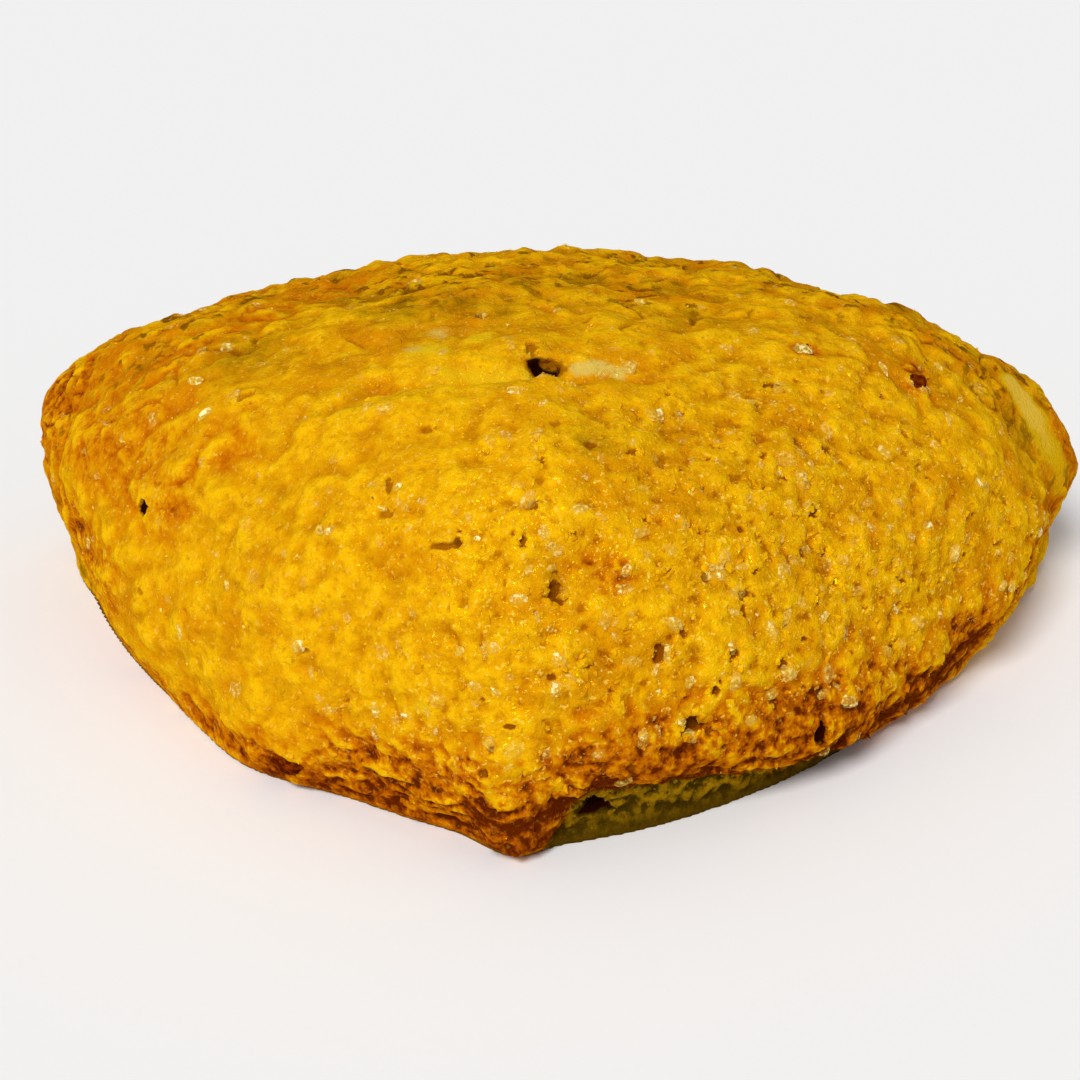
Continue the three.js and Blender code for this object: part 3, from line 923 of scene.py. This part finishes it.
def with_dough(maps, tone):
    pale = maps.wire.stored("pale") * (0.4 + maps.small * 0.8)
    tone = pale.rise(0.1, 0.9).blend(tone, PALE_CRUST)
    torn = maps.wire.stored("torn") * (0.55 + maps.small * 0.8)
    tone = torn.rise(0.05, 0.95).blend(tone, TORN_DOUGH)
    strip = maps.wire.stored("strip")
    tone = strip.rise(0.0, 0.5).blend(tone, STRIP_EDGE)
    tone = strip.rise(0.45, 1.0).blend(tone, STRIP_DOUGH)
    # Pale specks of sugar, painted lighter as glints, fewer where the crust toasted.
    sugar_specks_and_glints = maps.mottle(0.5).rise(0.61, 0.69) * (maps.sugary * 0.3 + 0.26 - maps.back * 0.12)
    sugar_specks_and_glints = sugar_specks_and_glints * (1 - maps.toast.rise(0.3, 0.9) * 0.85)
    tone = sugar_specks_and_glints.blend(tone, PAINTED_GRAIN_GLINT)
    # The band's grain is its own, and it is darker in its dips as painted shade; it is also darker towards
    # the tray, which is painted shade.
    grainy = maps.specks * 0.45 + maps.mottle(0.35, 1.0) * 0.35 + maps.small * 0.2 - maps.fine_dip * 0.2
    painted_light_by_height = maps.height.rise(0.5 * MM, 4.5 * MM) * 0.9 + 0.12
    dough = (grainy.rise(0.28, 0.72) * painted_light_by_height).blend(BAND_PAINTED_SHADE, BAND_DOUGH_AND_SHADE)
    return maps.bare.blend(tone, dough)


# %% [markdown]
# ## Holes and the underside
# The inside of a hole is brown, redder in the sugary front, partly a browner crumb and partly painted shade,
# and black where it is deep, which is painted shade. One stored darkness drives both blends, so a shallow
# hole stays brown. The underside took its brown from the tray, in broad patches.

# %% Blend the holes and the base
HOLE_BROWN = (0.42, 0.16, 0.001)
HOLE_RED = (0.27, 0.07, 0.001)
HOLE_PAINTED_SHADE = (0.02, 0.003, 0.0005)
TRAY_BROWN = (0.34, 0.15, 0.01)
TRAY_DARK = (0.16, 0.05, 0.003)


def with_holes(maps, tone):
    # The stored darkness of the holes is mostly painted shade.
    hole = maps.wire.stored("hole")
    inside = maps.bare.blend(maps.sugary.blend(HOLE_BROWN, HOLE_RED), BAND_PAINTED_SHADE)
    tone = hole.rise(0.05, 0.6).blend(tone, inside)
    return hole.rise(0.65, 1.2).blend(tone, HOLE_PAINTED_SHADE)


def with_base(maps, tone):
    lowest = 1 - maps.height.rise(0.05 * MM, 0.4 * MM)
    under = maps.wire.stored("tray") + lowest * (1 - maps.bare)
    return under.blend(tone, maps.patches.rise(0.4, 0.62).blend(TRAY_BROWN, TRAY_DARK))


# %% [markdown]
# ## Gloss and glow
# Sugar has melted into the crust, so it glints in specks, and its glints are yellow. The shader's own
# highlight would be white, so its level is 0, and a little Metallic gives glints of the crust's own colour.
# Bump adds relief too fine for the mesh. Light that enters the crumb comes out warmer: Subsurface does that,
# but not on the loose crumbs, which are too small to show it.

# %% Paint the crust
GLOSS_TINT = (1, 0.8, 0.1, 1)
GLOW_SHARE = 0.3
GLOW_REACH = (1.0, 0.4, 0.05)  # of red, green and blue light
RELIEF = 0.25  # height of the bump


def paint_crust(name, depth_of_glow):
    finish, shader, wire = new_finish(name)
    maps = CrustMaps(wire)
    tone = golden_lumps(maps)
    for step in (with_furrows, with_toast, with_dough, with_holes, with_base):
        tone = step(maps, tone)
    plug(tone, shader.inputs["Base Color"])
    pooled = maps.mottle(0.4, 1.0).rise(0.52, 0.66)
    plug(0.6 - pooled * 0.48, shader.inputs["Roughness"])
    plug(pooled * (maps.sugary * 0.12 + 0.06) + 0.02, shader.inputs["Metallic"])
    relief = maps.mottle(0.7) * 0.45 + maps.mottle(0.28, 1.0) * 0.55
    bump = wire.node("Bump", None, {"Height": relief, "Distance": RELIEF * MM, "Strength": 1.0})
    plug(bump, shader.inputs["Normal"])
    shader.inputs["Specular IOR Level"].default_value = 0.0
    shader.inputs["Specular Tint"].default_value = GLOSS_TINT
    shader.inputs["Subsurface Weight"].default_value = GLOW_SHARE if depth_of_glow else 0
    shader.inputs["Subsurface Radius"].default_value = GLOW_REACH
    shader.inputs["Subsurface Scale"].default_value = depth_of_glow * MM
    print(name, "painted with", len(finish.node_tree.nodes), "nodes")
    return finish


crust_mesh.materials.append(paint_crust("baked crust", 1.0))
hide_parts("scone")
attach(crust, "root")

# %% [markdown]
# ## Coarse sugar
# Coarse sugar is small clear blocks, thrown on before baking and half melted in the oven. A cube with
# bevelled edges and shaken corners gives one block; a few different blocks, turned and scaled hundreds of
# times, look like many.

# %% Make a few blocks
BLOCK_KINDS = 6
# Each face's painted glint has a limit, and smaller faces get a little less painted glint.
SMALL_FACE = 0.6  # of the largest face's area; smaller faces glint a little less
PAINTED_GLINT_OF_SMALL = 0.9
PAINTED_GLINT_OF_LARGE = 0.95


def as_arrays(shape):
    """Corners, faces and the most painted glint that each face may get, of a bmesh that is then freed."""
    corners = np.array([vert.co for vert in shape.verts])
    faces = [[vert.index for vert in face.verts] for face in shape.faces]
    areas = np.array([face.calc_area() for face in shape.faces])
    shape.free()
    return corners, faces, np.where(areas < SMALL_FACE * areas.max(), PAINTED_GLINT_OF_SMALL, PAINTED_GLINT_OF_LARGE)


def sugar_block(melt):
    """A block one unit across, with its edges rounded by melt."""
    block = bmesh.new()
    bmesh.ops.create_cube(block, size=1)
    bmesh.ops.bevel(
        block, geom=block.edges[:], offset=melt, affect="EDGES", segments=1, profile=0.5, material=-1
    )
    for vert in block.verts:
        vert.co += Vector(rng.uniform(-0.07, 0.07, 3))
    return as_arrays(block)


blocks = [sugar_block(melt) for melt in np.linspace(0.2, 0.36, BLOCK_KINDS)]
print("block faces:", len(blocks[0][1]))

# %% [markdown]
# ## Many copies in one piece
# Copying objects would be slow and the export drops instances, so all copies of a kind become one mesh, put
# together from arrays. Each copy keeps a number of its own, and each face one that says how bright a painted
# glint it gets.

# %% Stand copies on the crust and join them
def standing_on(normal, turn, lean):
    """A turn that stands a shape on the crust, spun about the normal and leaning a little."""
    upright = Vector(normal).to_track_quat("Z", "Y").to_matrix()
    spun = Matrix.Rotation(turn, 3, "Z") @ Matrix.Rotation(lean, 3, "X")
    return np.array(upright @ spun)


def thrown_on(normal, most_lean):
    """The same, turned and leaning by chance."""
    return standing_on(normal, rng.uniform(0, 2 * math.pi), rng.uniform(-most_lean, most_lean))


def one_piece(name, kinds, settings):
    """Joins copies into one object. A setting is a kind, its turn and scale, its place and its number."""
    corners, faces, numbers, most, start = [], [], [], [], 0
    for kind, turn, place, number in settings:
        shape, shape_faces, painted_glint_limits = kinds[kind]
        corners.append(shape @ turn.T + place)
        faces += [[start + index for index in face] for face in shape_faces]
        numbers.append(np.full(len(shape_faces), number))
        most.append(painted_glint_limits)
        start += len(shape)
    mesh = bpy.data.meshes.new(name)
    mesh.from_pydata(np.concatenate(corners) * MM, [], faces)
    keep(mesh, "own", np.concatenate(numbers), "FACE")
    keep(mesh, "painted_glint", rng.random(len(faces)) * np.concatenate(most), "FACE")
    piece = bpy.data.objects.new(name, mesh)
    scene.collection.objects.link(piece)
    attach(piece, "root")
    print(name, "of", len(settings), "copies,", count_triangles(mesh), "triangles")
    return piece


# %% Set the coarse sugar on the crust
CRYSTAL_COUNT = 320  # besides those found in the solid
CRYSTAL_LOWEST = 10
CRYSTALS_APART = 1.7
HOLE_CLEARANCE = 3.5  # no sugar from the solid is put closer to a landmark hole


def solid_crystals():
    """Vertices nearest to the sugar of the solid."""
    landmarks = np.array([place for place, *_ in LANDMARK_HOLES])
    found = []
    for place in sugar_places:
        if np.linalg.norm(landmarks - place, axis=1).min() > HOLE_CLEARANCE:
            found.append(np.argmin(np.linalg.norm(moved - place, axis=1)))
    return found


def set_crystals():
    weight = ramp(moved[:, 2], CRYSTAL_LOWEST, CRYSTAL_LOWEST + 3) * (0.3 + 1.2 * front_right(moved))
    weight *= (hole_shade < 0.1) * (strip < 0.05) * (1 - 0.7 * ramp(moved[:, 1], 0, 25))
    settings = []
    for index in solid_crystals() + choose(moved, CRYSTAL_COUNT, weight, CRYSTALS_APART):
        size = rng.uniform(0.9, 2.1)
        scale = np.diag((size, size * rng.uniform(0.45, 0.8), size * rng.uniform(0.45, 0.7)))
        turn = thrown_on(steady_normals[index], 0.4) @ scale
        sunk = size * (rng.uniform(0.08, 0.26) + 0.12 * behind[index])
        place = moved[index] - steady_normals[index] * sunk
        settings.append((rng.integers(BLOCK_KINDS), turn, place, rng.random()))
    return one_piece("coarse_sugar", blocks, settings)


coarse_sugar = set_crystals()

# %% [markdown]
# ## Crumbs
# Seen close, the crust is a mass of crumbs and grains glazed over with melted sugar. They are too small for
# the skin's squares, so each is a lump of twenty faces, pressed into the skin. The faces stay flat, so that
# each catches the light by itself and glints. They wear the crust's own finish and copy what the crust
# remembers at their place, so they brown where it browns.

# %% Press the crumbs into the crust
CRUMB_COUNT = 9000
CRUMB_KINDS = 5
# A crumb stands proud, so its fine dip below none gives it the painted light of a raised top.
CRUMB_DIP = -0.6  # less than none, because a crumb stands proud


def crumb():
    lump = bmesh.new()
    bmesh.ops.create_icosphere(lump, subdivisions=1, radius=0.5)
    for vert in lump.verts:
        vert.co += Vector(rng.uniform(-0.16, 0.16, 3))
    return as_arrays(lump)


def remember(piece, picked, corners_each):
    """Gives every corner of a crumb what the crust remembers where the crumb lies."""
    for name, values in memory.items():
        if name == "own":
            continue
        here = np.full(len(picked), CRUMB_DIP) if name == "fine_dip" else values[picked]
        keep(piece.data, name, np.repeat(here, corners_each))


def set_crumbs():
    kinds = [crumb() for _ in range(CRUMB_KINDS)]
    weight = ramp(moved[:, 2], 0.5, 3) * (0.3 + 0.9 * sugary) * (1 - 0.2 * behind)
    weight *= (hole_shade < 0.2) * (strip < 0.05) * (1 - 0.5 * wall)
    picked = rng.choice(len(moved), size=CRUMB_COUNT, replace=False, p=weight / weight.sum())
    settings = []
    for index in picked:
        size = 0.45 + (0.6 + 0.5 * sugary[index]) * rng.random() ** 2
        scale = np.diag(size * rng.uniform(0.6, 1.2, 3))
        turn = thrown_on(steady_normals[index], 0.5) @ scale
        place = moved[index] - steady_normals[index] * (0.32 + 0.08 * behind[index]) * size
        settings.append((rng.integers(CRUMB_KINDS), turn, place, rng.random()))
    piece = one_piece("crumbs", kinds, settings)
    remember(piece, picked, len(kinds[0][0]))
    return piece


crumbs = set_crumbs()
crumbs.data.materials.append(paint_crust("crumbs", 0))

# %% [markdown]
# ## Fine grains
# Between the crystals lie thousands of grains too small to see singly, which show only as glints painted on
# some of their faces. A bare cube is enough for each.

# %% Scatter the fine grains
GRAIN_COUNT = 7000


def grain():
    cube = bmesh.new()
    bmesh.ops.create_cube(cube, size=1)
    return as_arrays(cube)


def set_grains():
    weight = ramp(moved[:, 2], 4, 10) * (0.8 + 0.4 * sugary) * (1 - 0.7 * behind)
    weight *= (hole_shade < 0.3) * (strip < 0.05) * (1 - 0.8 * np.minimum(toast, 1))
    settings = []
    for index in rng.choice(len(moved), size=GRAIN_COUNT, replace=False, p=weight / weight.sum()):
        size = rng.uniform(0.16, 0.42)
        scale = np.diag(size * rng.uniform(0.4, 1.0, 3))
        turn = thrown_on(crust_normals[index], 0.8) @ scale
        settings.append((0, turn, moved[index] + crust_normals[index] * 0.1 * size, rng.random()))
    return one_piece("fine_sugar", [grain()], settings)


fine_sugar = set_grains()

# %% [markdown]
# ## What sugar looks like
# Half-melted sugar is clear, so the crust's colour comes through it, and some of its faces throw the light
# back white. True refraction in so many tiny blocks is slow and dark; letting the crust show through by
# Alpha, with a few faces and specks on each block painted bright as glints, reads the same at this size.

# %% Paint the sugar
COARSE_MILKY_AND_GLINT = (1.0, 0.87, 0.45)
COARSE_CLEAR = (0.90, 0.60, 0.07)
FINE_PAINTED_GLINT = (1.0, 0.74, 0.14)
FINE_CLEAR = (0.80, 0.46, 0.02)
SUGAR_TINT = (1, 0.9, 0.5, 1)
CRAZE_SIZE = 0.4


def paint_sugar(name, milky_and_glint, clear, haze):
    finish, shader, wire = new_finish(name)
    own = wire.stored("own")
    craze = wire.mottle(wire.node("TexCoord", out="Object"), CRAZE_SIZE, 1.0)
    faces = wire.stored("painted_glint").rise(0.6, 0.95) * own.rise(0.2, 1.0) * craze.rise(0.3, 0.6)
    # Bright faces and specks are painted glints, in a milky pale colour.
    painted_glints = faces + craze.rise(0.6, 0.66) * 0.3
    plug(painted_glints.blend(clear, milky_and_glint), shader.inputs["Base Color"])
    hazy = craze.rise(0.4, 0.6) * 0.6 + own.rise(0.65, 1.0) * 0.8 + 0.3
    plug(painted_glints * 0.75 + hazy * haze, shader.inputs["Alpha"])
    plug(craze * 0.2 + 0.02, shader.inputs["Roughness"])
    shader.inputs["Specular IOR Level"].default_value = 0.3 * haze
    shader.inputs["Specular Tint"].default_value = SUGAR_TINT
    print(name, "painted with", len(finish.node_tree.nodes), "nodes")
    return finish


coarse_sugar.data.materials.append(paint_sugar("coarse sugar", COARSE_MILKY_AND_GLINT, COARSE_CLEAR, 0.42))
fine_sugar.data.materials.append(paint_sugar("fine sugar", FINE_PAINTED_GLINT, FINE_CLEAR, 0.0))

# %% [markdown]
# ## Chocolate
# Few chips break the surface. Each is a bit of dark chocolate that melted and set again: a sphere pushed
# about by noise, flattened, and sunk so that only its top shows. A ray from the heart of the scone finds the
# crust, so a chip is placed by the way it lies and not by its exact place.

# %% Sink the chips of chocolate
HEART = Vector((-1.854, -4.974, 12))  # rays from here find the crust
CHIP_THICKNESS = 1.2  # half of it
# Towards which place, half width, half height, and how far its top stands out
CHIPS = [
    ((38.3, -3.2, 33), 1.0, 1.1, 0.6),
    ((25.8, -3.7, 37), 0.5, 0.5, 0.1),
    ((-27.2, -32, 4), 2.2, 1.6, 0.5),
    ((-31.9, 35, 24), 1.6, 2.0, 0.4),
    ((6.1, 41, 24), 2.0, 1.8, 0.5),
    ((32.1, 37, 20), 1.5, 1.9, 0.4),
    ((-15.9, 41, 18), 2.0, 2.2, 0.5),
    ((48.1, 31, 14), 1.6, 1.8, 0.4),
    ((-47.9, 31, 16), 1.8, 1.5, 0.4),
]


def chip_shape(half_width, half_height, seed):
    chip = bmesh.new()
    bmesh.ops.create_icosphere(chip, subdivisions=3, radius=1)
    apart = Vector((9 * seed, 0, 0))
    for vert in chip.verts:
        vert.co *= 1 + 0.3 * noise.noise(vert.co * 1.7 + apart) + 0.2 * noise.noise(vert.co * 4 + apart)
    bmesh.ops.scale(chip, vec=(half_width, half_height, CHIP_THICKNESS), verts=chip.verts)
    return as_arrays(chip)


def set_chips():
    tree = BVHTree.FromPolygons([Vector(place) for place in moved], crust_faces)
    kinds, settings = [], []
    for seed, (towards, half_width, half_height, stands) in enumerate(CHIPS):
        hit = np.array(tree.ray_cast(HEART, (Vector(towards) - HEART).normalized())[0])
        facing = steady_normals[np.argmin(np.linalg.norm(moved - hit, axis=1))]
        kinds.append(chip_shape(half_width, half_height, seed))
        settings.append((seed, standing_on(facing, 0, 0), hit + facing * (stands - CHIP_THICKNESS), seed))
    return one_piece("chocolate", kinds, settings)


chocolate = set_chips()
chocolate.data.shade_smooth()

# %% [markdown]
# ## What chocolate looks like
# Chocolate that has baked is dark brown with a dull red bloom and no gloss. One noise drives its colour, its
# roughness and its relief, so that the three agree.

# %% Paint the chocolate
DARK_CHOCOLATE = (0.07, 0.008, 0.0005)
RED_BLOOM = (0.24, 0.036, 0.001)
BLOOM_SIZE = 0.8
BLOOM_RELIEF = 0.3


def paint_chocolate():
    finish, shader, wire = new_finish("dark chocolate")
    bloom = wire.mottle(wire.node("TexCoord", out="Object"), BLOOM_SIZE, 3.0)
    plug(bloom.rise(0.4, 0.65).blend(DARK_CHOCOLATE, RED_BLOOM), shader.inputs["Base Color"])
    plug(bloom * 0.5 + 0.2, shader.inputs["Roughness"])
    bump = wire.node("Bump", None, {"Height": bloom, "Distance": BLOOM_RELIEF * MM, "Strength": 0.7})
    plug(bump, shader.inputs["Normal"])
    shader.inputs["Specular IOR Level"].default_value = 0.0
    print("chocolate painted with", len(finish.node_tree.nodes), "nodes")
    return finish


chocolate.data.materials.append(paint_chocolate())

# %% [markdown]
# ## Floor and light
# A pale floor and soft light keep the eye on the scone. The main light comes from above the camera's left
# shoulder, as in the photograph. A Sun with a wide angle lights the whole floor evenly and still casts soft
# shadows, which a lamp close by would not. The world fills the shadows, and the Standard view shows the
# yellow as strong as it is.

# %% Lay the floor
FLOOR_SIDE = 8.0
FLOOR_GAP = 0.05 * MM  # the base and the floor would flicker in one plane
FLOOR_PAINT = (0.93, 0.93, 0.93, 1)


def pale_floor():
    grid = bmesh.new()
    bmesh.ops.create_grid(grid, x_segments=1, y_segments=1, size=FLOOR_SIDE / 2)
    bmesh.ops.translate(grid, vec=(0, 0, -FLOOR_GAP), verts=grid.verts)
    mesh = bpy.data.meshes.new("floor")
    grid.to_mesh(mesh)
    grid.free()
    finish, shader, _ = new_finish("pale floor")
    shader.inputs["Base Color"].default_value = FLOOR_PAINT
    shader.inputs["Roughness"].default_value = 0.8
    shader.inputs["Specular IOR Level"].default_value = 0.1
    mesh.materials.append(finish)
    floor = bpy.data.objects.new("floor", mesh)
    scene.collection.objects.link(floor)


pale_floor()
print("floor, m:", FLOOR_SIDE, "on a side")

# %% Light the scene
LIGHT_FROM = Vector((-0.16, -0.42, 0.52))
LIGHT_TO = Vector((0, 0, 0.02))
LIGHT_SPREAD = 0.36
LIGHT_STRENGTH = 2.5
SKY = 0.36


def window_light():
    lamp = bpy.data.lights.new("window", "SUN")
    lamp.angle = LIGHT_SPREAD
    lamp.energy = LIGHT_STRENGTH
    light = bpy.data.objects.new("window", lamp)
    light.location = LIGHT_FROM
    light.rotation_euler = turned_towards(LIGHT_FROM, LIGHT_TO)
    scene.collection.objects.link(light)


window_light()
scene.world = bpy.data.worlds.new("soft sky")
scene.world.use_nodes = True
sky = scene.world.node_tree.nodes["Background"]
sky.inputs["Color"].default_value = (1, 1, 1, 1)
sky.inputs["Strength"].default_value = SKY
scene.view_settings.view_transform = "Standard"
print("sun", LIGHT_STRENGTH, "and sky", SKY)
